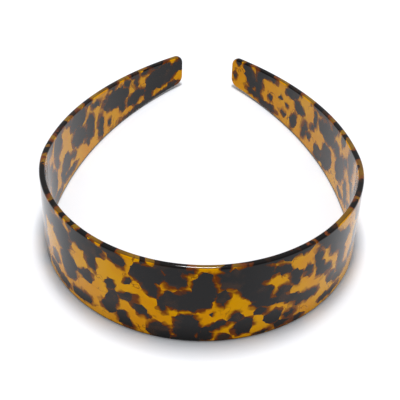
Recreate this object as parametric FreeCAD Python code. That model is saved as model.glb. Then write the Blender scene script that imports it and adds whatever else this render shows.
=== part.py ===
"""Wide hair band, bent from one strip of cellulose acetate sheet.

The band lies on its long lower edge, as it does on a table. +Z is up, the
crown points along -Y and the two arms run towards +Y. The origin is on the
table, under the middle of the bounding box.

The band is a single bent strip. It is written here as three lengths of that
strip, the crown and the two arms, with a hairline between them on each side:
the line about which that arm springs when the band is opened.
"""
import FreeCAD, Part
import math
import os

# Driving dimensions, in millimetres and degrees
SPAN = 135.0            # outer width across the widest place
SHEET = 2.6             # thickness of the sheet
CROWN_ARC = 98.0        # half angle of the round crown, counted from its middle
ARM_RADIUS = 169.0      # outer radius of the arms, which are bent more gently
ARM_ARC = 39.3          # angle that each arm turns through past the round crown
BAND = 40.4             # width of the strip at the middle of the crown
UPPER_RADIUS = 624.0    # the upper edge leaves the crown level, on this radius
UPPER_SLOPE = 10.9      # and then runs straight, down towards the tips
LEVEL_LENGTH = 140.0    # the lower edge is flat this far back from the crown
TIP_LIFT = 1.5          # and curves up to this height at the tips
TIP_CORNER = 4.0        # radius of the corners of each tip, on the flat strip
EDGE_ROUND = 1.0        # radius that polishing leaves on every edge
BEND_ANGLE = 50.0       # the arms spring about lines at this angle of the crown
BEND_GAP = 0.3          # width of the hairline between the crown and an arm

# Worked out from them
CROWN_RADIUS = SPAN / 2.0
CROWN_CENTRE = CROWN_RADIUS
SLOPE = math.radians(UPPER_SLOPE)
FRONT = -10.0           # a plane in front of the band, where cutters start
SHARP = math.radians(20.0)


def point(x, y, z=0.0):
    return FreeCAD.Vector(x, y, z)


def crown_point(angle, inset):
    """A point on the round crown, inset from its outer face."""
    turn = math.radians(angle)
    radius = CROWN_RADIUS - inset
    return point(radius * math.sin(turn), CROWN_CENTRE - radius * math.cos(turn))


def arm_point(angle, inset):
    """A point on the right arm, by the angle turned since the round crown."""
    start = math.radians(CROWN_ARC)
    turn = math.radians(CROWN_ARC + angle)
    offset = ARM_RADIUS - CROWN_RADIUS
    centre = point(-offset * math.sin(start), CROWN_CENTRE + offset * math.cos(start))
    radius = ARM_RADIUS - inset
    return centre + point(radius * math.sin(turn), -radius * math.cos(turn))


def mirrored(p):
    return point(-p.x, p.y, p.z)


def arc(points):
    return Part.Arc(*points).toShape()


def bent_sheet():
    """The bent sheet before its edges are shaped, as high as its widest place."""
    edges = []
    for inset in (0.0, SHEET):
        side = crown_point(CROWN_ARC, inset)
        edges.append(arc([mirrored(side), crown_point(0.0, inset), side]))
        arm = [arm_point(turn, inset) for turn in (0.0, ARM_ARC / 2, ARM_ARC)]
        edges.append(arc(arm))
        edges.append(arc([mirrored(p) for p in arm]))
    tip = [arm_point(ARM_ARC, inset) for inset in (0.0, SHEET)]
    edges.append(Part.makeLine(*tip))
    edges.append(Part.makeLine(*[mirrored(p) for p in tip]))
    outline = Part.Wire(Part.__sortEdges__(edges))
    return Part.Face(outline).extrude(point(0, 0, BAND))


def side_outline():
    """The outline of the band from its side, as a block right across it."""
    back = arm_point(ARM_ARC, 0.0).y

    def upper(slope):
        run = UPPER_RADIUS * math.sin(slope)
        drop = UPPER_RADIUS * (1.0 - math.cos(slope))
        return point(-SPAN, run, BAND - drop)

    bend = upper(SLOPE)
    upper_tip = point(-SPAN, back, bend.z - (back - bend.y) * math.tan(SLOPE))
    run = back - LEVEL_LENGTH
    radius = (run ** 2 + TIP_LIFT ** 2) / (2.0 * TIP_LIFT)
    half_turn = math.asin(run / radius) / 2.0
    level_end = point(-SPAN, LEVEL_LENGTH, 0)
    lower_mid = level_end + point(0, radius * math.sin(half_turn), radius * (1.0 - math.cos(half_turn)))
    lower_tip = point(-SPAN, back, TIP_LIFT)
    edges = [
        Part.makeLine(point(-SPAN, FRONT, 0), level_end),
        arc([level_end, lower_mid, lower_tip]),
        Part.makeLine(lower_tip, upper_tip),
        Part.makeLine(upper_tip, bend),
        arc([bend, upper(SLOPE / 2), upper(0.0)]),
        Part.makeLine(upper(0.0), point(-SPAN, FRONT, BAND)),
        Part.makeLine(point(-SPAN, FRONT, BAND), point(-SPAN, FRONT, 0)),
    ]
    return Part.Face(Part.Wire(edges)).extrude(point(2 * SPAN, 0, 0))


def across_tip(edge, back):
    """True for the short edges across the sheet, at the corners of a tip."""
    box = edge.BoundBox
    return box.YMin > back - 2 * SHEET and box.ZLength < SHEET / 2


def is_sharp(shape, edge):
    """True where the two faces beside an edge meet at an angle."""
    faces = shape.ancestorsOfType(edge, Part.Face)
    if len(faces) < 2:
        return False
    middle = edge.valueAt((edge.FirstParameter + edge.LastParameter) / 2.0)
    normals = [face.normalAt(*face.Surface.parameter(middle)) for face in faces]
    return normals[0].getAngle(normals[1]) > SHARP


def polished_strip():
    """The whole band as one solid, with round tips and polished edges."""
    strip = bent_sheet().common(side_outline()).Solids[0]
    back = strip.BoundBox.YMax
    strip = strip.makeFillet(TIP_CORNER, [edge for edge in strip.Edges if across_tip(edge, back)])
    return strip.makeFillet(EDGE_ROUND, [edge for edge in strip.Edges if is_sharp(strip, edge)])


def bend_slots():
    """The thin radial slabs that part the two arms from the crown."""
    slots = []
    for side in (-1, 1):
        corner = point(-BEND_GAP / 2, -CROWN_RADIUS - SHEET, -BAND / 2)
        slab = Part.makeBox(BEND_GAP, CROWN_RADIUS, 2 * BAND, corner)
        slab.rotate(point(0, 0), point(0, 0, 1), side * BEND_ANGLE)
        slab.translate(point(0, CROWN_CENTRE))
        slots.append(slab)
    return slots


def main():
    os.makedirs("parts", exist_ok=True)
    strip = polished_strip()
    box = strip.optimalBoundingBox(False, False)
    lengths = strip.cut(bend_slots()).Solids
    lengths.sort(key=lambda solid: solid.CenterOfMass.x)
    for name, solid in zip(("left_arm", "crown", "right_arm"), lengths, strict=True):
        solid.translate(point(0, -(box.YMin + box.YMax) / 2.0))
        solid.exportStep(f"parts/{name}.step")
        print(name, "volume", round(solid.Volume, 1), "valid", solid.isValid())
    bend = crown_point(BEND_ANGLE, 0.0) - point(0, (box.YMin + box.YMax) / 2.0)
    print("bend line of the right arm at", [round(value, 3) for value in bend])


if __name__ == "__main__":
    main()
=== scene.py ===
"""Tortoiseshell hair band: the looks of a wide headband bent from one strip of acetate."""
import math

import bmesh
import bpy
from mathutils import Matrix, Vector


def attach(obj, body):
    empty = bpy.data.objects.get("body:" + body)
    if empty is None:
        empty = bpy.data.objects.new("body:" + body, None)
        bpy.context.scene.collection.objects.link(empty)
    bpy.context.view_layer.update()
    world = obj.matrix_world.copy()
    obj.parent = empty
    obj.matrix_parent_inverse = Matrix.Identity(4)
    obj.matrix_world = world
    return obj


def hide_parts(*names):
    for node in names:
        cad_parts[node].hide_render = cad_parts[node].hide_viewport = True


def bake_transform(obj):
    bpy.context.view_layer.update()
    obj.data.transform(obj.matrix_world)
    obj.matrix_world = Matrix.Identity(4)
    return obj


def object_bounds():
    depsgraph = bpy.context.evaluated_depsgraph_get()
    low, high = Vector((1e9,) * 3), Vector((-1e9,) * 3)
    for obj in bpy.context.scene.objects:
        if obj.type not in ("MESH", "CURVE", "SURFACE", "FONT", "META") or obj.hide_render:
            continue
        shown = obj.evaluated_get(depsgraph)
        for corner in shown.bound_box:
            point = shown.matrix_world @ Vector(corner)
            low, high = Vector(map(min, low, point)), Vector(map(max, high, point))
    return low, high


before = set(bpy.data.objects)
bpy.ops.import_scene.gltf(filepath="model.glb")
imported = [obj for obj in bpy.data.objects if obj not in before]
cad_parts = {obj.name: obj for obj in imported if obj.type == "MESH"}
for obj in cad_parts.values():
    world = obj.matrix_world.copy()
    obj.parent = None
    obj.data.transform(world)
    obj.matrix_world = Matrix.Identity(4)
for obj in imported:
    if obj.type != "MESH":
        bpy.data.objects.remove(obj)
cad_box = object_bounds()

bl_info = {
    "name": "Tortoiseshell Hair Band",
    "version": (1, 0, 0),
    "blender": (4, 5, 0),
    "location": "View3D > Sidebar > Hair Band",
    "description": "Builds a wide acetate hair band round its packed frame",
    "category": "Add Mesh",
}

MM = 0.001
CROWN = "crown"
ARMS = ("left_arm", "right_arm")
SHEET_OBJECT = "bent_sheet"
FLAT_SHEET = "flat_sheet"       # the attribute that says where a point lies in the flat sheet
MARGIN = 0.01 * MM              # for picking what lies on a line
SMOOTH_BELOW = math.radians(50.0)   # faces that meet at a smaller angle are one smooth surface
FACE, RIM = 0, 1                # material slots: the broad faces and the sawn edges

# Steps of the mesh
CORNER_ROWS = 1.2       # rows stop this many corner radii before the end of a tip
CORNER_STEPS = 8        # faces round each corner of a tip
EDGE_STEPS = 6          # faces across each polished edge

# The dark lumps in the flat sheet, in mm and degrees: along the strip from its middle,
# up from its lower edge, half length, half width and tilt.
FRONT_LUMPS = (
    (-58.5, 17, 5.2, 7.5, 0), (-63, 30, 7, 7.5, 25), (-76, 33, 8, 5, 0), (-69, 13, 2.6, 3, 0),
    (-70, 6, 4, 2.2, 0), (-62.5, 4.4, 4.2, 2.2, 0), (-47, 35.5, 9, 4.2, 0),
    (-44, 29, 2.6, 4.5, 15), (-32, 37, 4.6, 3.2, -40), (-19, 33.5, 6.5, 4.6, 0),
    (-17.5, 27, 4.2, 2.6, -50), (-27, 27.6, 1.3, 1, 45), (-47.2, 19, 4, 2.8, 15),
    (-35.2, 21.8, 2.6, 2.6, 0), (-34.2, 14, 2.4, 6.2, 0), (-36, 9.2, 3.8, 3.2, 0),
    (-27, 18.4, 3.6, 2.6, 20), (-21.5, 13.8, 5, 2.2, -40), (-28.6, 5.5, 4.8, 2.6, -50),
    (-50, 5.6, 5.8, 2.8, 0), (-9, 38.5, 7, 2.8, 0), (-8, 33, 5, 3.6, 0),
    (-4, 22.5, 9.5, 5.4, 0), (3, 29, 4.6, 8.5, 0), (-12.4, 20, 2, 4.4, 0),
    (19, 34, 11.5, 5.6, 0), (22.5, 26, 8.5, 4.6, -35), (26, 19, 4.4, 3.6, 0),
    (10.6, 24.5, 2.5, 4.4, 0), (34, 33.4, 4, 2.4, -20), (39, 39.5, 9, 2, 0),
    (40.5, 26, 2.8, 4.6, 10), (46.5, 26.5, 2, 3, 0), (35, 21.5, 3.4, 3, 0),
    (34, 17.6, 5.6, 1.8, -15), (46.5, 12.8, 6.4, 3.2, -8), (40, 15.5, 4, 2, -20),
    (52.4, 28, 2.4, 8, 12), (59, 36, 7, 3.2, -15), (57, 20.5, 4.6, 2.8, -20),
    (61.5, 13.6, 2.3, 2.7, 0), (66.5, 29.5, 8, 5, -15), (68.5, 19, 3.2, 6.5, 0),
    (70, 10.2, 6, 2.8, 0), (31.6, 9, 4.1, 3.9, 0), (39.3, 7.3, 2.4, 1.7, 0),
    (7.5, 9, 6.2, 1.7, 20), (3.8, 4.2, 2.7, 3.2, 0), (19, 7.4, 4.6, 3.6, 30),
    (15.6, 13.4, 2, 2.8, 0), (-3.4, 8.8, 5.5, 6.8, 0), (-14, 4.6, 4.7, 4.2, 0),
    (27, 2, 3, 1.2, 0), (35.5, 3.2, 3.2, 1.8, 0), (43, 2.4, 3, 1.3, 0), (62, 4, 6, 1.8, 0),
    (26, 13.6, 2.4, 1.4, 0), (6.7, 16, 0.8, 1.1, 0), (-3, 1.6, 6, 1.6, 0), (11, 2, 2.2, 1.4, 0),
)
LEFT_LUMPS = (
    (-216, 12, 10.5, 6.6, 0), (-229, 13.5, 5.6, 4.2, 0), (-225, 3.4, 4, 1.6, 0),
    (-207, 8.5, 3, 7, 10), (-198.5, 17.5, 1.6, 4.4, 8), (-197.5, 9.4, 6.6, 3.4, -5),
    (-181, 17, 11, 5.4, 10), (-186.5, 10.5, 3, 4, 0), (-191, 20.5, 3, 2, 40),
    (-175.8, 6.8, 2, 2, 0), (-168, 9, 2.6, 6.4, 0), (-158.5, 15, 4.6, 7, 0),
    (-165, 23.5, 4, 1.5, 15), (-147, 26, 8.6, 4.6, 10), (-147, 16.8, 8, 5.4, 30),
    (-155, 9, 3, 1.3, 50), (-123.5, 27.5, 5.6, 5.2, 0), (-132, 12.4, 5.2, 4.6, 15),
    (-115, 14, 5.4, 7, 0), (-105, 25, 6, 6, 0), (-101, 10, 4, 6, 0), (-112, 34, 6, 2.4, 0),
    (-209, 1.5, 22, 1.6, 0), (-137, 30.5, 3, 1.2, 10), (-134, 5, 8, 2.2, 5),
    (-127, 8.5, 2.4, 3.2, -30), (-117, 4, 8, 2.4, 0), (-121, 21.5, 4, 2, 50),
    (-140, 11, 3, 1.6, 20), (-110, 22, 5, 2.6, -35), (-96, 16, 3.4, 2.6, 30),
    (-98, 33, 5, 3, 0), (-102, 3, 5, 1.8, 0),
)
RIGHT_LUMPS = (
    (118, 29, 4.2, 5.8, -20), (131, 16, 5.4, 7.6, 20), (131, 31, 2.4, 2.6, 0),
    (141.5, 29.5, 4, 2.4, -30), (150, 22.5, 9, 5.2, -10), (140, 22, 5, 1.8, -25),
    (148, 9.5, 5.6, 7.6, 10), (157, 5, 4.4, 3.8, 0), (162, 21, 2, 4.4, 0),
    (157, 28.6, 8.5, 1.8, -8), (184, 22.3, 6, 3.2, -22), (177.5, 17.6, 4.4, 3.2, 10),
    (172, 9, 2.6, 5.6, 15), (182, 7.4, 2.2, 5.2, 15), (188.5, 12.8, 1.1, 0.9, 0),
    (193.6, 13.9, 1.4, 2, 30), (190.5, 6.8, 2.2, 0.9, 0), (202, 9.2, 2, 1.8, 40),
    (201.5, 21, 4, 1.6, -20), (203, 2.8, 7, 1.9, 0), (211, 13, 3.2, 9, 10),
    (218, 13.5, 3.8, 6.6, -15), (214, 5, 6, 2, 0), (167, 8.4, 1.5, 1.3, 0), (104, 22, 4, 8, 20),
    (121, 11, 2.6, 5.5, -20), (110, 7, 5.4, 2.6, 15), (228, 9, 1.2, 2, 0),
    (125.5, 23.5, 4.6, 2, -45), (112, 18, 2, 4.4, -25), (116, 21, 4, 1.8, 30),
    (136.5, 20.5, 3.4, 2, -20), (165, 14.5, 2.8, 1.6, -40), (187.5, 26.5, 3, 1.2, -15),
    (127, 4.5, 4, 1.4, 0), (97, 10, 3, 4.6, 0), (96, 33, 5.6, 2.8, -10),
)
# The dark stretches of the upper edge: their middles along the strip and their half lengths.
EDGE_LUMPS = (
    (-213, 10), (-197, 3), (-180, 4), (-158.5, 3.6), (-145.5, 4.4), (-130.5, 6.4), (-110, 2.6),
    (-90, 13.6), (-70.4, 2.6), (-62.3, 1.3), (-56.2, 1.4), (-49, 2.5), (-34.6, 3.2),
    (-20.8, 1.2), (-9.2, 6.4), (11.4, 1.4), (28.6, 10), (42.6, 2.4), (53, 2.8), (60, 3.2),
    (78.5, 2.9), (91, 6.6), (116, 4.6), (132.5, 2.4), (142, 3.2), (160, 5.2), (183.4, 5.6),
    (208.2, 10.2), (226.5, 1.4),
)
EDGE_LUMP_HEIGHT = 2.2  # half the height of those stretches, in mm
LUMP_DEPTH = 9.0        # how far a lump runs through the sheet, in mm, well past both faces
LUMP_MARGIN = 8.0       # a piece carries the lumps that come this near to it, in mm
LUMP_GROWTH = 0.35      # how far the dark spreads past the outline of a lump, in mm

# The noises in the sheet: the offset that sets each apart, the size of its blobs in mm, its detail.
NOISES = {
    "chip_gap": ((31.0, 7.0, 2.0), 9.0, 1.0),
    "ragged": ((0.0, 60.0, 9.0), 3.0, 1.0),
    "haze": ((90.0, 40.0, 0.0), 9.0, 2.0),
    "cloud": ((200.0, 11.0, 3.0), 14.0, 2.0),
    "streak": ((60.0, 20.0, 8.0), 8.0, 3.0),
    "patchy": ((5.0, 120.0, 2.0), 12.0, 2.0),
    "brown": ((10.0, 300.0, 5.0), 8.0, 2.0),
    "smear": ((50.0, 5.0, 1.0), 16.0, 3.0),
    "ripple": ((7.0, 70.0, 0.0), 14.0, 2.0),
}
# How outlines are roughened: the size of the waves and how far they move an outline, in mm,
# and the detail of the waves.
WIDE_WAVES = (7.0, 1.1, 1.0)
FINE_WAVES = (2.2, 0.3, 1.5)
CHIP_WAVES = (5.0, 2.5, 1.0)
WAVE_ROUGHNESS = 0.55
OUTLINE_CHIPS = (3.2, 0.45)     # size of the chips in mm, and how far outlines follow them
RAGGED_REACH = 1.7

# The sides of the band, where small chips are strewn about instead of lumps: the distances
# from the middle over which the chips come in and go out again, in mm.
CHIPS_COME_IN = (72.0, 82.0)
CHIPS_GO_OUT = (104.0, 116.0)
CHIP_SIZE = 7.5
CHIP_SHAPE = (0.8, 1.0, 0.5)    # chips are a little long, and deeper than the sheet
DARK_CHIPS = 0.64               # the share of the chips that is dark
CHIP_GAP_LEVEL = 0.47           # the noise level at which neighbours just touch
CHIP_GAP_REACH = 9.0
CHIP_FADE = 6.0                 # how far chips shrink where they aren't strewn, in mm

# Depths into a lump at which the colour turns, in mm; a depth below 0 is outside the lump.
DARK_FROM = 0.05
DARK_TO = 0.5
HAZE_SPREAD = 2.0               # and how much later that is where the dark is hazy
FRINGE_FROM_ON_FACE = -1.0
FRINGE_FROM_ON_RIM = -0.35
FRINGE_TO = 0.15

# Heights up the sheet, and distances off its middle plane, over which amber turns to painted shade,
# in mm: painted shade along the lower edge where the band meets the table, and where the sawn edges
# round over into the faces.
LOWER_EDGE = (0.5, 1.6)
LOWER_PAINTED_SHADE = 0.9
RIM_PAINTED_SHADE_TURN = (0.7, 1.25)

# Noise levels over which each tint of the sheet comes in.
HAZE_LEVELS = (0.52, 0.75)
CLOUD_LEVELS = (0.4, 0.62)
STREAK_LEVELS = (0.004, 0.018)
PATCHY_LEVELS = (0.5, 0.62)
BROWN_LEVELS = (0.52, 0.68)
VEIN_STRENGTH = 0.75

# The polish.
REFRACTION = 1.48
ROUGHNESS = (0.045, 0.05)       # at its smoothest, and how much the smears add
RIPPLE = (0.25, 0.1 * MM)       # strength and height of the faint waves of the polish
RIM_SPECULAR = 0.42
FACE_SPECULAR = 0.22
WHITE_GLOW = (1.0, 1.0, 1.0)
AMBER_GLOW = (1.0, 0.66, 0.0)   # what clear amber mirrors comes back warm
ASLANT = (0.22, 0.5)            # amber starts to mirror as it is seen more and more aslant


# Sizes and colours -----------------------------------------------------------

class BandShape(bpy.types.PropertyGroup):
    """Sizes of the bent strip."""
    sheet: bpy.props.FloatProperty(
        name="Sheet", description="Thickness of the acetate sheet",
        default=2.6 * MM, unit="LENGTH")
    crown_arc: bpy.props.FloatProperty(
        name="Crown arc", description="Half angle of the round crown",
        default=math.radians(98.0), subtype="ANGLE")
    arm_radius: bpy.props.FloatProperty(
        name="Arm radius", description="Outer radius of the gentler arms",
        default=169.0 * MM, unit="LENGTH")
    arm_arc: bpy.props.FloatProperty(
        name="Arm arc", description="Angle that each arm turns past the crown",
        default=math.radians(39.3), subtype="ANGLE")
    bend_angle: bpy.props.FloatProperty(
        name="Bend angle", description="Crown angle of the lines about which the arms spring",
        default=math.radians(50.0), subtype="ANGLE")
    spring_length: bpy.props.FloatProperty(
        name="Spring length",
        description="Stretch past the bend line that flexes as an arm springs",
        default=68.0 * MM, unit="LENGTH")
    upper_radius: bpy.props.FloatProperty(
        name="Upper radius", description="Radius on which the upper edge leaves the crown",
        default=624.0 * MM, unit="LENGTH")
    upper_slope: bpy.props.FloatProperty(
        name="Upper slope", description="Slope of the upper edge along the arms",
        default=math.radians(10.9), subtype="ANGLE")
    level_length: bpy.props.FloatProperty(
        name="Level length", description="How far back the lower edge stays flat",
        default=140.0 * MM, unit="LENGTH")
    tip_lift: bpy.props.FloatProperty(
        name="Tip lift", description="Height of the lower edge at the tips",
        default=1.5 * MM, unit="LENGTH")
    tip_corner: bpy.props.FloatProperty(
        name="Tip corner", description="Radius of the corners of each tip",
        default=4.0 * MM, unit="LENGTH")
    edge_round: bpy.props.FloatProperty(
        name="Edge round", description="Radius that polishing leaves on the edges",
        default=1.0 * MM, unit="LENGTH")
    station: bpy.props.FloatProperty(
        name="Station", description="Distance along the strip between rows of the mesh",
        default=2.4 * MM, unit="LENGTH")


class BandLook(bpy.types.PropertyGroup):
    """Colours of the tortoiseshell, in linear light."""
    amber: bpy.props.FloatVectorProperty(
        name="Amber", description="Clear amber of the sheet",
        default=(0.685, 0.315, 0.0), size=3, subtype="COLOR")
    honey: bpy.props.FloatVectorProperty(
        name="Honey", description="Warmer, deeper amber",
        default=(0.66, 0.27, 0.001), size=3, subtype="COLOR")
    fringe: bpy.props.FloatVectorProperty(
        name="Fringe", description="Red brown round the edges of the dark lumps",
        default=(0.15, 0.034, 0.006), size=3, subtype="COLOR")
    dark: bpy.props.FloatVectorProperty(
        name="Dark", description="The dark lumps",
        default=(0.004, 0.003, 0.003), size=3, subtype="COLOR")
    # Painted shade: the rim colours are the amber and honey darkened to stand in for light that
    # sinks into the sheet at its sawn edges.
    rim_amber_in_painted_shade: bpy.props.FloatVectorProperty(
        name="Rim amber", description="Amber of the sawn edges, where light sinks into the sheet",
        default=(0.20, 0.105, 0.005), size=3, subtype="COLOR")
    rim_honey_in_painted_shade: bpy.props.FloatVectorProperty(
        name="Rim honey", description="Deeper amber of the sawn edges",
        default=(0.13, 0.062, 0.004), size=3, subtype="COLOR")
    # Painted shade: the colour laid along the lower edge and where the sawn edges round into the
    # broad faces.
    painted_edge_shade: bpy.props.FloatVectorProperty(
        name="Rim shade", description="The sawn edges where they turn into the broad faces",
        default=(0.035, 0.018, 0.002), size=3, subtype="COLOR")
    brown: bpy.props.FloatVectorProperty(
        name="Brown", description="Where the dark lumps let a little light through",
        default=(0.030, 0.012, 0.005), size=3, subtype="COLOR")


class StudioSetup(bpy.types.PropertyGroup):
    """The camera and the light."""
    distance: bpy.props.FloatProperty(
        name="Distance", description="From the camera to the point it looks at",
        default=445.1 * MM, unit="LENGTH")
    elevation: bpy.props.FloatProperty(
        name="Elevation", description="Height of the camera above the table",
        default=math.radians(40.92), subtype="ANGLE")
    azimuth: bpy.props.FloatProperty(
        name="Azimuth", description="Turn of the camera round the band",
        default=math.radians(0.64), subtype="ANGLE")
    roll: bpy.props.FloatProperty(
        name="Roll", description="Tilt of the picture",
        default=math.radians(1.8), subtype="ANGLE")
    lens: bpy.props.FloatProperty(
        name="Lens", description="Focal length on a 36 mm frame, in millimetres",
        default=94.56)
    key: bpy.props.FloatProperty(
        name="Key", description="Power of the soft light above the band, in watts",
        default=8.0)
    fill: bpy.props.FloatProperty(
        name="Fill", description="Brightness of the room as matt surfaces meet it",
        default=0.525)
    mirrored: bpy.props.FloatProperty(
        name="Mirrored", description="Brightness of the room as polished surfaces mirror it",
        default=0.36)
    aim: bpy.props.FloatVectorProperty(
        name="Aim", description="The point that the camera looks at",
        default=(-0.25 * MM, -26.65 * MM, 20.0 * MM), size=3, subtype="TRANSLATION",
        unit="LENGTH")
    lamp_place: bpy.props.FloatVectorProperty(
        name="Lamp place", description="Where the soft light hangs",
        default=(0.0, 0.03, 1.0), size=3, subtype="TRANSLATION", unit="LENGTH")
    lamp_width: bpy.props.FloatProperty(
        name="Lamp width", description="Size of the soft light from side to side",
        default=0.16, unit="LENGTH")
    lamp_depth: bpy.props.FloatProperty(
        name="Lamp depth", description="Size of the soft light from front to back",
        default=0.27, unit="LENGTH")
    table_radius: bpy.props.FloatProperty(
        name="Table radius", description="Radius of the table top",
        default=6.0, unit="LENGTH")
    table_colour: bpy.props.FloatVectorProperty(
        name="Table colour", description="Pale surface under the band",
        default=(0.87, 0.89, 0.93), size=3, subtype="COLOR")


# The plan of the band --------------------------------------------------------

class Plan:
    """Where the strip runs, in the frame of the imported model."""

    def __init__(self, shape):
        low, high = (Vector(corner) for corner in cad_box)
        self.shape = shape
        self.crown_radius = (high.x - low.x) / 2
        self.band = high.z
        self.front = low.y
        self.crown_centre = Vector((0, self.front + self.crown_radius, 0))
        offset = shape.arm_radius - self.crown_radius
        self.arm_centre = self.crown_centre + Vector(
            (-offset * math.sin(shape.crown_arc), offset * math.cos(shape.crown_arc), 0))
        self.crown_length = self.crown_radius * shape.crown_arc
        self.length = self.crown_length + shape.arm_radius * shape.arm_arc
        self.bend_along = self.crown_radius * shape.bend_angle

    def on_crown(self, along):
        return along < self.crown_length - MARGIN

    def turn(self, along):
        """How far the strip has turned at a distance along its outer face."""
        if self.on_crown(along):
            return along / self.crown_radius
        return self.shape.crown_arc + (along - self.crown_length) / self.shape.arm_radius

    def depth(self, along):
        """Distance back from the front of the crown."""
        turn = self.turn(along)
        if self.on_crown(along):
            return self.crown_radius * (1 - math.cos(turn))
        return self.arm_centre.y - self.shape.arm_radius * math.cos(turn) - self.front

    def edges(self, along):
        """Heights of the lower and the upper edge of the strip."""
        shape = self.shape
        back = self.depth(along)
        bend = shape.upper_radius * math.sin(shape.upper_slope)
        curved = min(back, bend)
        upper = self.band - shape.upper_radius + math.sqrt(shape.upper_radius ** 2 - curved ** 2)
        upper -= (back - curved) * math.tan(shape.upper_slope)
        run = self.depth(self.length) - shape.level_length
        radius = (run ** 2 + shape.tip_lift ** 2) / (2 * shape.tip_lift)
        past = max(back - shape.level_length, 0)
        lower = radius - math.sqrt(radius ** 2 - past ** 2)
        return lower, upper

    def stations(self):
        """Distances along half the strip at which the mesh has a row."""
        shape = self.shape
        corner_start = self.length - CORNER_ROWS * shape.tip_corner
        stops = [0, self.bend_along, self.crown_length, corner_start]
        rows = []
        for start, end in zip(stops, stops[1:]):
            count = math.ceil((end - start) / shape.station)
            rows += [start + (end - start) * step / count for step in range(count)]
        return rows + [corner_start, self.length]


# Mesh work -------------------------------------------------------------------

def deselect_everything():
    if bpy.context.object and bpy.context.object.mode != "OBJECT":
        bpy.ops.object.mode_set(mode="OBJECT")
    bpy.ops.object.select_all(action="DESELECT")


def make_active(piece):
    deselect_everything()
    piece.select_set(True)
    bpy.context.view_layer.objects.active = piece


def apply_modifier(piece, kind, **settings):
    """Adds one modifier with its settings and applies it."""
    make_active(piece)
    modifier = piece.modifiers.new(kind.title(), kind)
    for name, value in settings.items():
        setattr(modifier, name, value)
    bpy.ops.object.modifier_apply(modifier=modifier.name)


def turn_selection(angle, centre):
    """Turns the selection about Z. With no window the operator turns the other way."""
    sign = -1 if bpy.app.background else 1
    bpy.ops.transform.rotate(value=sign * angle, orient_axis="Z", center_override=centre)


def draw_half_face(plan):
    """The right half of the outer face, drawn row by row from the middle of the crown."""
    deselect_everything()
    bpy.ops.mesh.primitive_plane_add(size=plan.band, rotation=(math.pi / 2, 0, 0))
    sheet = bpy.context.object
    sheet.name = SHEET_OBJECT
    bpy.ops.object.transform_apply(location=True, rotation=True, scale=True)
    bpy.ops.object.mode_set(mode="EDIT")
    bpy.ops.mesh.select_mode(type="VERT")
    mesh = bmesh.from_edit_mesh(sheet.data)
    for vert in mesh.verts:
        vert.select = vert.co.x < 0
    mesh.select_flush_mode()
    bmesh.update_edit_mesh(sheet.data)
    bpy.ops.mesh.delete(type="VERT")
    bpy.ops.mesh.select_all(action="SELECT")
    bpy.ops.transform.translate(value=(-plan.band / 2, plan.front, plan.band / 2))
    bpy.ops.mesh.select_mode(type="EDGE")
    rows = plan.stations()
    for here, there in zip(rows, rows[1:]):
        centre = plan.crown_centre if plan.on_crown(here) else plan.arm_centre
        lower, upper = plan.edges(here)
        new_lower, new_upper = plan.edges(there)
        bpy.ops.mesh.extrude_region_move()
        turn_selection(plan.turn(there) - plan.turn(here), centre)
        stretch = (new_upper - new_lower) / (upper - lower)
        bpy.ops.transform.resize(value=(1, 1, stretch), center_override=(0, 0, lower))
        bpy.ops.transform.translate(value=(0, 0, new_lower - lower))
    bpy.ops.mesh.select_all(action="SELECT")
    bpy.ops.object.mode_set(mode="OBJECT")
    if sheet.data.polygons[0].normal.y > 0:
        sheet.data.flip_normals()
    return sheet


def bend_sheet(plan):
    """The whole strip with its thickness and its polished edges."""
    shape = plan.shape
    sheet = draw_half_face(plan)
    for _ in (FACE, RIM):
        sheet.data.materials.append(None)
    apply_modifier(sheet, "MIRROR", use_mirror_merge=True, merge_threshold=MARGIN)
    apply_modifier(
        sheet, "SOLIDIFY", thickness=shape.sheet, offset=-1.0, use_even_offset=True,
        material_offset_rim=RIM)
    round_tips(sheet, plan)
    apply_modifier(
        sheet, "BEVEL", width=shape.edge_round, segments=EDGE_STEPS, limit_method="ANGLE",
        angle_limit=SMOOTH_BELOW, use_clamp_overlap=False)
    make_active(sheet)
    bpy.ops.object.shade_smooth()
    apply_modifier(sheet, "WEIGHTED_NORMAL", weight=100, keep_sharp=False)
    return sheet


def round_tips(sheet, plan):
    """Rounds the four corners of each tip, across the thickness of the sheet."""
    make_active(sheet)
    back = max(vert.co.y for vert in sheet.data.vertices)
    bpy.ops.object.mode_set(mode="EDIT")
    bpy.ops.mesh.select_mode(type="EDGE")
    bpy.ops.mesh.select_all(action="DESELECT")
    mesh = bmesh.from_edit_mesh(sheet.data)
    for edge in mesh.edges:
        ends = [vert.co for vert in edge.verts]
        level = abs(ends[0].z - ends[1].z) < MARGIN
        at_tip = min(end.y for end in ends) > back - plan.shape.sheet
        edge.select = level and at_tip
    mesh.select_flush_mode()
    bmesh.update_edit_mesh(sheet.data)
    bpy.ops.mesh.bevel(offset=plan.shape.tip_corner, segments=CORNER_STEPS, affect="EDGES")
    bpy.ops.object.mode_set(mode="OBJECT")


def mark_flat_sheet(piece, plan):
    """Stores where each point lies in the sheet before it is bent: along, up and deep, in mm."""
    points = []
    for vert in piece.data.vertices:
        side = -1 if vert.co.x < 0 else 1
        out = vert.co - plan.crown_centre
        turn = math.atan2(abs(out.x), -out.y)
        radius = plan.crown_radius
        start = 0
        if turn > plan.shape.crown_arc:
            out = Vector((abs(vert.co.x), vert.co.y, 0)) - plan.arm_centre
            turn = math.atan2(out.x, -out.y) - plan.shape.crown_arc
            radius = plan.shape.arm_radius
            start = plan.crown_length
        along = side * (start + radius * turn)
        deep = radius - math.hypot(out.x, out.y)
        points += [along / MM, vert.co.z / MM, deep / MM]
    attribute = piece.data.attributes.new(FLAT_SHEET, "FLOAT_VECTOR", "POINT")
    attribute.data.foreach_set("vector", points)


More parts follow.
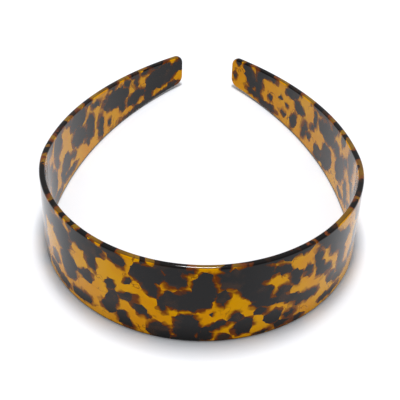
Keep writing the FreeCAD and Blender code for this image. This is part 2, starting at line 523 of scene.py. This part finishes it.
def cut_piece(sheet, name, planes):
    """A copy of the bent sheet, sawn off at planes, each closed where it is sawn."""
    make_active(sheet)
    bpy.ops.object.duplicate()
    piece = bpy.context.object
    piece.name = name
    bpy.ops.object.mode_set(mode="EDIT")
    for centre, way in planes:
        bpy.ops.mesh.select_all(action="SELECT")
        bpy.ops.mesh.bisect(
            plane_co=centre, plane_no=way, use_fill=True, clear_outer=True,
            threshold=MARGIN)
    bpy.ops.object.mode_set(mode="OBJECT")
    make_active(piece)
    bpy.ops.object.shade_smooth_by_angle(angle=SMOOTH_BELOW)
    apply_modifier(
        piece, "DATA_TRANSFER", object=sheet, use_loop_data=True,
        data_types_loops={"CUSTOM_NORMAL"}, loop_mapping="NEAREST_POLYNOR")
    return piece


def bend_line(plan, side):
    """The line about which an arm springs: a point on the axis and the way along the strip."""
    angle = plan.shape.bend_angle
    return plan.crown_centre, Vector((side * math.cos(angle), math.sin(angle), 0))


# Materials -------------------------------------------------------------------

class Wire:
    """A socket that sums, products and the like can be written with."""

    def __init__(self, graph, socket):
        self.graph = graph
        self.socket = socket

    def _math(self, operation, first, second):
        return self.graph.node("ShaderNodeMath", {"operation": operation}, {0: first, 1: second})

    def __add__(self, other):
        return self._math("ADD", self, other)

    def __radd__(self, other):
        return self._math("ADD", other, self)

    def __sub__(self, other):
        return self._math("SUBTRACT", self, other)

    def __rsub__(self, other):
        return self._math("SUBTRACT", other, self)

    def __mul__(self, other):
        return self._math("MULTIPLY", self, other)

    def __rmul__(self, other):
        return self._math("MULTIPLY", other, self)

    def most(self, other):
        return self._math("MAXIMUM", self, other)


class Graph:
    """The nodes of one material or world."""

    def __init__(self, tree):
        self.tree = tree
        self.tree.nodes.clear()

    def node(self, kind, settings=None, inputs=None, output=0):
        """Adds a node, sets it up, fills its sockets and gives back one of its outputs."""
        made = self.tree.nodes.new(kind)
        for name, value in (settings or {}).items():
            setattr(made, name, value)
        for name, value in (inputs or {}).items():
            if isinstance(value, Wire):
                self.tree.links.new(value.socket, made.inputs[name])
            else:
                made.inputs[name].default_value = value
        return None if output is None else Wire(self, made.outputs[output])

    def ease(self, value, low, high):
        """0 below low, 1 above high and an even curve between them."""
        return self.node(
            "ShaderNodeMapRange", {"interpolation_type": "SMOOTHSTEP"},
            {"Value": value, "From Min": low, "From Max": high})

    def blend(self, share, first, second):
        """The two colours, mixed by a share."""
        return self.node(
            "ShaderNodeMix", {"data_type": "RGBA"},
            {0: share, 6: opaque(first), 7: opaque(second)}, 2)

    def vector(self, operation, first, second, third=(0, 0, 0)):
        return self.node(
            "ShaderNodeVectorMath", {"operation": operation}, {0: first, 1: second, 2: third})

    def part(self, vector, axis):
        """One of the three numbers of a vector."""
        return self.node("ShaderNodeSeparateXYZ", {}, {0: vector}, axis)

    def size(self, value):
        """A number without its sign."""
        return self.node("ShaderNodeMath", {"operation": "ABSOLUTE"}, {0: value})

    def shader(self, values):
        return self.node("ShaderNodeBsdfPrincipled", {}, values, "BSDF")

    def either(self, share, first, second):
        """The two shaders, mixed by a share."""
        return self.node("ShaderNodeMixShader", {}, {0: share, 1: first, 2: second})


def opaque(colour):
    """A colour as a node's socket takes it."""
    return colour if isinstance(colour, Wire) else (*colour, 1.0)


def new_material(name):
    material = bpy.data.materials.new(name)
    material.use_nodes = True
    return Graph(material.node_tree)


def noise(graph, place, size, detail, roughness=0.5, output="Fac"):
    """Soft noise with blobs of about a size in mm."""
    return graph.node(
        "ShaderNodeTexNoise", {"noise_dimensions": "3D"},
        {"Vector": place, "Scale": 1.0 / size, "Detail": detail, "Roughness": roughness}, output)


def named_noise(graph, place, name):
    offset, size, detail = NOISES[name]
    return noise(graph, graph.vector("ADD", place, offset), size, detail)


def shaken(graph, place, waves):
    """The place, moved about by noise."""
    size, reach, detail = waves
    shake = noise(graph, place, size, detail, WAVE_ROUGHNESS, "Color")
    shake = graph.vector("SUBTRACT", shake, (0.5, 0.5, 0.5))
    return graph.vector("MULTIPLY_ADD", shake, (2 * reach, 2 * reach, reach), place)


def chipped(graph, place, chips):
    """The place, drawn towards the middle of one of many small chips, so edges turn angular."""
    size, share = chips
    middle = graph.node(
        "ShaderNodeTexVoronoi", {}, {"Vector": place, "Scale": 1.0 / size}, "Position")
    way = graph.vector("SUBTRACT", middle, place)
    return graph.vector("MULTIPLY_ADD", way, (share,) * 3, place)


def lump(graph, place, along, up, length, width, tilt):
    """How far inside one dark lump a place lies, in mm, and below 0 outside it."""
    spot = graph.node(
        "ShaderNodeMapping", {"vector_type": "TEXTURE"},
        {"Vector": place, "Location": (along, up, 0), "Rotation": (0, 0, math.radians(tilt)),
         "Scale": (length, width, LUMP_DEPTH)})
    distance = graph.node("ShaderNodeVectorMath", {"operation": "LENGTH"}, {0: spot}, "Value")
    size = min(length, width)
    return size - distance * size


def edge_lump(plan, middle, half_length):
    """A lump that darkens one stretch of the upper edge."""
    _, upper = plan.edges(abs(middle) * MM)
    return middle, upper / MM, half_length, EDGE_LUMP_HEIGHT, 0


def lumps_between(plan, low, high):
    """The lumps that reach a stretch of the strip, in mm along it."""
    edge_lumps = [edge_lump(plan, *each) for each in EDGE_LUMPS]
    near = []
    for each in (*FRONT_LUMPS, *LEFT_LUMPS, *RIGHT_LUMPS, *edge_lumps):
        middle, _, length, width, _ = each
        reach = max(length, width)
        if low - LUMP_MARGIN < middle + reach and middle - reach < high + LUMP_MARGIN:
            near.append(each)
    return near


def scattered_chips(graph, place):
    """How far inside the dark chips a place lies, where they are strewn about evenly."""
    cell = {"Vector": graph.vector("MULTIPLY", place, CHIP_SHAPE), "Scale": 1.0 / CHIP_SIZE}
    chance = graph.node("ShaderNodeTexVoronoi", {"feature": "F1"}, cell, "Color")
    border = graph.node(
        "ShaderNodeTexVoronoi", {"feature": "DISTANCE_TO_EDGE"}, cell, "Distance")
    is_dark = graph.node(
        "ShaderNodeMath", {"operation": "LESS_THAN"}, {0: graph.part(chance, "X"), 1: DARK_CHIPS})
    gap = (named_noise(graph, place, "chip_gap") - CHIP_GAP_LEVEL) * CHIP_GAP_REACH
    return (is_dark * 2.0 - 1.0) * border * CHIP_SIZE - gap


def dark_depth(graph, place, lumps):
    """How far inside the dark part of the sheet a place lies, in mm."""
    rough = shaken(graph, shaken(graph, place, WIDE_WAVES), FINE_WAVES)
    rough = chipped(graph, rough, OUTLINE_CHIPS)
    inside = None
    for each in lumps:
        depth = lump(graph, rough, *each)
        inside = depth if inside is None else inside.most(depth)
    off_middle = graph.size(graph.part(place, "X"))
    at_side = graph.ease(off_middle, *CHIPS_COME_IN) - graph.ease(off_middle, *CHIPS_GO_OUT)
    strewn = scattered_chips(graph, shaken(graph, rough, CHIP_WAVES))
    ragged = (named_noise(graph, place, "ragged") - 0.5) * RAGGED_REACH
    return (inside + LUMP_GROWTH + ragged).most(strewn - (1.0 - at_side) * CHIP_FADE)


def veins(graph, place):
    """Thin red brown threads that wander through parts of the amber."""
    streak = graph.size(named_noise(graph, place, "streak") - 0.5)
    patchy = graph.ease(named_noise(graph, place, "patchy"), *PATCHY_LEVELS)
    return (1.0 - graph.ease(streak, *STREAK_LEVELS)) * patchy * VEIN_STRENGTH


def clear_colour(graph, place, depth, amber, honey, plan, look, rim):
    """The amber with its red brown fringes and veins, with painted shade along the lower edge and,
    on the rim, where it rounds into the faces.
    """
    fringe_from = FRINGE_FROM_ON_RIM if rim else FRINGE_FROM_ON_FACE
    fringe = graph.ease(depth, fringe_from, FRINGE_TO)
    cloud = graph.ease(named_noise(graph, place, "cloud"), *CLOUD_LEVELS)
    colour = graph.blend(cloud, amber, honey)
    colour = graph.blend(fringe.most(veins(graph, place)), colour, look.fringe)
    above = graph.ease(graph.part(place, "Y"), *LOWER_EDGE)
    # painted shade along the lower edge, where the band meets the table
    colour = graph.blend(LOWER_PAINTED_SHADE - above * LOWER_PAINTED_SHADE, colour, look.painted_edge_shade)
    if rim:
        # painted shade where the sawn edge rounds over into the broad faces
        middle = plan.shape.sheet / 2 / MM
        off_middle = graph.size(graph.part(place, "Z") - middle)
        colour = graph.blend(graph.ease(off_middle, *RIM_PAINTED_SHADE_TURN), colour, look.painted_edge_shade)
    return colour


def polish(graph, place, rim):
    """The values of polished acetate, apart from its colour."""
    smoothest, smears = ROUGHNESS
    strength, height = RIPPLE
    ripple = graph.node(
        "ShaderNodeBump", {},
        {"Strength": strength, "Distance": height, "Height": named_noise(graph, place, "ripple")})
    return {
        "Roughness": smoothest + named_noise(graph, place, "smear") * smears,
        "Normal": ripple,
        "IOR": REFRACTION,
        "Specular IOR Level": RIM_SPECULAR if rim else FACE_SPECULAR,
    }


def tortoiseshell(name, amber, honey, plan, look, lumps, rim=False):
    """Amber acetate with dark, ragged lumps that go through the sheet."""
    graph = new_material(name)
    place = graph.node("ShaderNodeAttribute", {"attribute_name": FLAT_SHEET}, {}, "Vector")
    depth = dark_depth(graph, place, lumps)
    finish = polish(graph, place, rim)

    clear = clear_colour(graph, place, depth, amber, honey, plan, look, rim)
    glow = WHITE_GLOW if rim else AMBER_GLOW
    amber_shader = graph.shader({**finish, "Base Color": clear, "Specular Tint": opaque(glow)})
    if not rim:
        matt = {"Specular IOR Level": 0.0, "IOR": 1.0}
        matt_shader = graph.shader({**finish, "Base Color": clear, **matt})
        aslant = graph.ease(graph.node("ShaderNodeLayerWeight", {}, {}, "Facing"), *ASLANT)
        amber_shader = graph.either(aslant, matt_shader, amber_shader)

    brown = graph.ease(named_noise(graph, place, "brown"), *BROWN_LEVELS)
    deepest = graph.blend(brown, look.dark, look.brown)
    dark_shader = graph.shader({**finish, "Base Color": deepest})

    haze = graph.ease(named_noise(graph, place, "haze"), *HAZE_LEVELS)
    dark = graph.ease(depth, DARK_FROM, DARK_TO + haze * HAZE_SPREAD)
    both = graph.either(dark, amber_shader, dark_shader)
    graph.node("ShaderNodeOutputMaterial", {}, {"Surface": both}, None)
    return bpy.data.materials[name]


def give_pattern(piece, plan, look, low, high):
    """Gives a piece its faces and its rim, for a stretch of the strip, in mm along it."""
    lumps = lumps_between(plan, low, high)
    piece.data.materials[FACE] = tortoiseshell(
        piece.name + "_face", look.amber, look.honey, plan, look, lumps)
    # the rim gets the amber and honey in painted shade
    piece.data.materials[RIM] = tortoiseshell(
        piece.name + "_rim", look.rim_amber_in_painted_shade, look.rim_honey_in_painted_shade, plan, look, lumps, rim=True)


def white_table(colour):
    """The plain pale surface under the band."""
    graph = new_material("white_table")
    shader = graph.shader(
        {"Base Color": opaque(colour), "Roughness": 0.9, "Specular IOR Level": 0.0})
    graph.node("ShaderNodeOutputMaterial", {}, {"Surface": shader}, None)
    return bpy.data.materials["white_table"]


# Operators -------------------------------------------------------------------

def settings():
    """The band's plan and colours, from the scene's own settings."""
    scene = bpy.context.scene
    return Plan(scene.hair_band_shape), scene.hair_band_look


def finish_piece(piece, plan, node):
    """What every length of the strip gets once its shape is final."""
    mark_flat_sheet(piece, plan)
    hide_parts(node)


class HAIRBAND_OT_bend_sheet(bpy.types.Operator):
    """Bend one strip of acetate sheet and polish its edges"""
    bl_idname = "hairband.bend_sheet"
    bl_label = "Bend the Sheet"

    def execute(self, context):
        plan, _ = settings()
        bend_sheet(plan)
        return {"FINISHED"}


class HAIRBAND_OT_add_crown(bpy.types.Operator):
    """Make the round crown of the band"""
    bl_idname = "hairband.add_crown"
    bl_label = "Crown"

    def execute(self, context):
        plan, look = settings()
        planes = [bend_line(plan, side) for side in (1, -1)]
        piece = cut_piece(bpy.data.objects[SHEET_OBJECT], "crown_strip", planes)
        reach = plan.bend_along / MM
        give_pattern(piece, plan, look, -reach, reach)
        finish_piece(piece, plan, CROWN)
        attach(piece, CROWN)
        return {"FINISHED"}


class HAIRBAND_OT_add_arms(bpy.types.Operator):
    """Make the two springy arms"""
    bl_idname = "hairband.add_arms"
    bl_label = "Arms"

    def execute(self, context):
        plan, look = settings()
        sheet = bpy.data.objects[SHEET_OBJECT]
        for arm, side in zip(ARMS, (-1, 1)):
            centre, way = bend_line(plan, side)
            planes = [(centre, Vector((-side, 0, 0))), (centre, -way)]
            piece = cut_piece(sheet, arm + "_strip", planes)
            ends = (side * plan.bend_along / MM, side * plan.length / MM)
            give_pattern(piece, plan, look, min(ends), max(ends))
            finish_piece(piece, plan, arm)
            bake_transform(piece)
        make_active(sheet)
        bpy.ops.object.delete()
        return {"FINISHED"}


class HAIRBAND_OT_add_stage(bpy.types.Operator):
    """Set up the table, the light and the camera"""
    bl_idname = "hairband.add_stage"
    bl_label = "Stage"

    def execute(self, context):
        studio = context.scene.hair_band_studio
        self.add_table(studio)
        self.add_light(context.scene, studio)
        self.add_camera(context.scene, studio)
        return {"FINISHED"}

    def add_table(self, studio):
        deselect_everything()
        bpy.ops.mesh.primitive_circle_add(
            vertices=96, radius=studio.table_radius, fill_type="NGON")
        table = bpy.context.object
        table.name = "table"
        table.data.materials.append(white_table(studio.table_colour))

    def add_light(self, scene, studio):
        scene.world = bpy.data.worlds.new("pale_room")
        scene.world.use_nodes = True
        graph = Graph(scene.world.node_tree)
        seen, mirrored, felt = (
            graph.node("ShaderNodeBackground", {}, {"Color": (1, 1, 1, 1), "Strength": strength})
            for strength in (1.0, studio.mirrored, studio.fill))
        by_camera = graph.node("ShaderNodeLightPath", {}, {}, "Is Camera Ray")
        by_polish = graph.node("ShaderNodeLightPath", {}, {}, "Is Glossy Ray")
        room = graph.either(by_camera, graph.either(by_polish, felt, mirrored), seen)
        graph.node("ShaderNodeOutputWorld", {}, {"Surface": room}, None)
        bpy.ops.object.light_add(type="AREA", location=studio.lamp_place)
        lamp = bpy.context.object
        lamp.name = "overhead_softbox"
        lamp.visible_camera = False
        lamp.data.shape = "RECTANGLE"
        lamp.data.size = studio.lamp_width
        lamp.data.size_y = studio.lamp_depth
        lamp.data.energy = studio.key

    def add_camera(self, scene, studio):
        out = Vector((
            math.sin(studio.azimuth) * math.cos(studio.elevation),
            -math.cos(studio.azimuth) * math.cos(studio.elevation),
            math.sin(studio.elevation)))
        bpy.ops.object.camera_add(location=Vector(studio.aim) + out * studio.distance)
        camera = bpy.context.object
        upright = (-out).to_track_quat("-Z", "Y").to_matrix()
        tilt = Matrix.Rotation(studio.roll, 3, "Z")
        camera.rotation_euler = (upright @ tilt).to_euler()
        camera.data.lens = studio.lens
        camera.data.clip_start = 10 * MM
        scene.camera = camera


class HAIRBAND_PT_panel(bpy.types.Panel):
    """Lists the steps that make the hair band"""
    bl_label = "Hair Band"
    bl_idname = "HAIRBAND_PT_panel"
    bl_space_type = "VIEW_3D"
    bl_region_type = "UI"
    bl_category = "Hair Band"

    def draw(self, context):
        column = self.layout.column()
        for step in STEPS:
            column.operator(step.bl_idname)
        for group in (context.scene.hair_band_shape, context.scene.hair_band_look,
                      context.scene.hair_band_studio):
            for name in group.__annotations__:
                column.prop(group, name)


STEPS = (
    HAIRBAND_OT_bend_sheet,
    HAIRBAND_OT_add_crown,
    HAIRBAND_OT_add_arms,
    HAIRBAND_OT_add_stage,
)
GROUPS = {
    "hair_band_shape": BandShape,
    "hair_band_look": BandLook,
    "hair_band_studio": StudioSetup,
}


def register():
    for group in GROUPS.values():
        bpy.utils.register_class(group)
    for each in (*STEPS, HAIRBAND_PT_panel):
        bpy.utils.register_class(each)
    for name, group in GROUPS.items():
        setattr(bpy.types.Scene, name, bpy.props.PointerProperty(type=group))


def unregister():
    for name in GROUPS:
        delattr(bpy.types.Scene, name)
    for each in (HAIRBAND_PT_panel, *reversed(STEPS), *GROUPS.values()):
        bpy.utils.unregister_class(each)


def main():
    register()
    bpy.ops.hairband.bend_sheet()
    bpy.ops.hairband.add_crown()
    bpy.ops.hairband.add_arms()
    bpy.ops.hairband.add_stage()
    bpy.context.scene.view_settings.view_transform = "Standard"


if __name__ == "__main__":
    main()
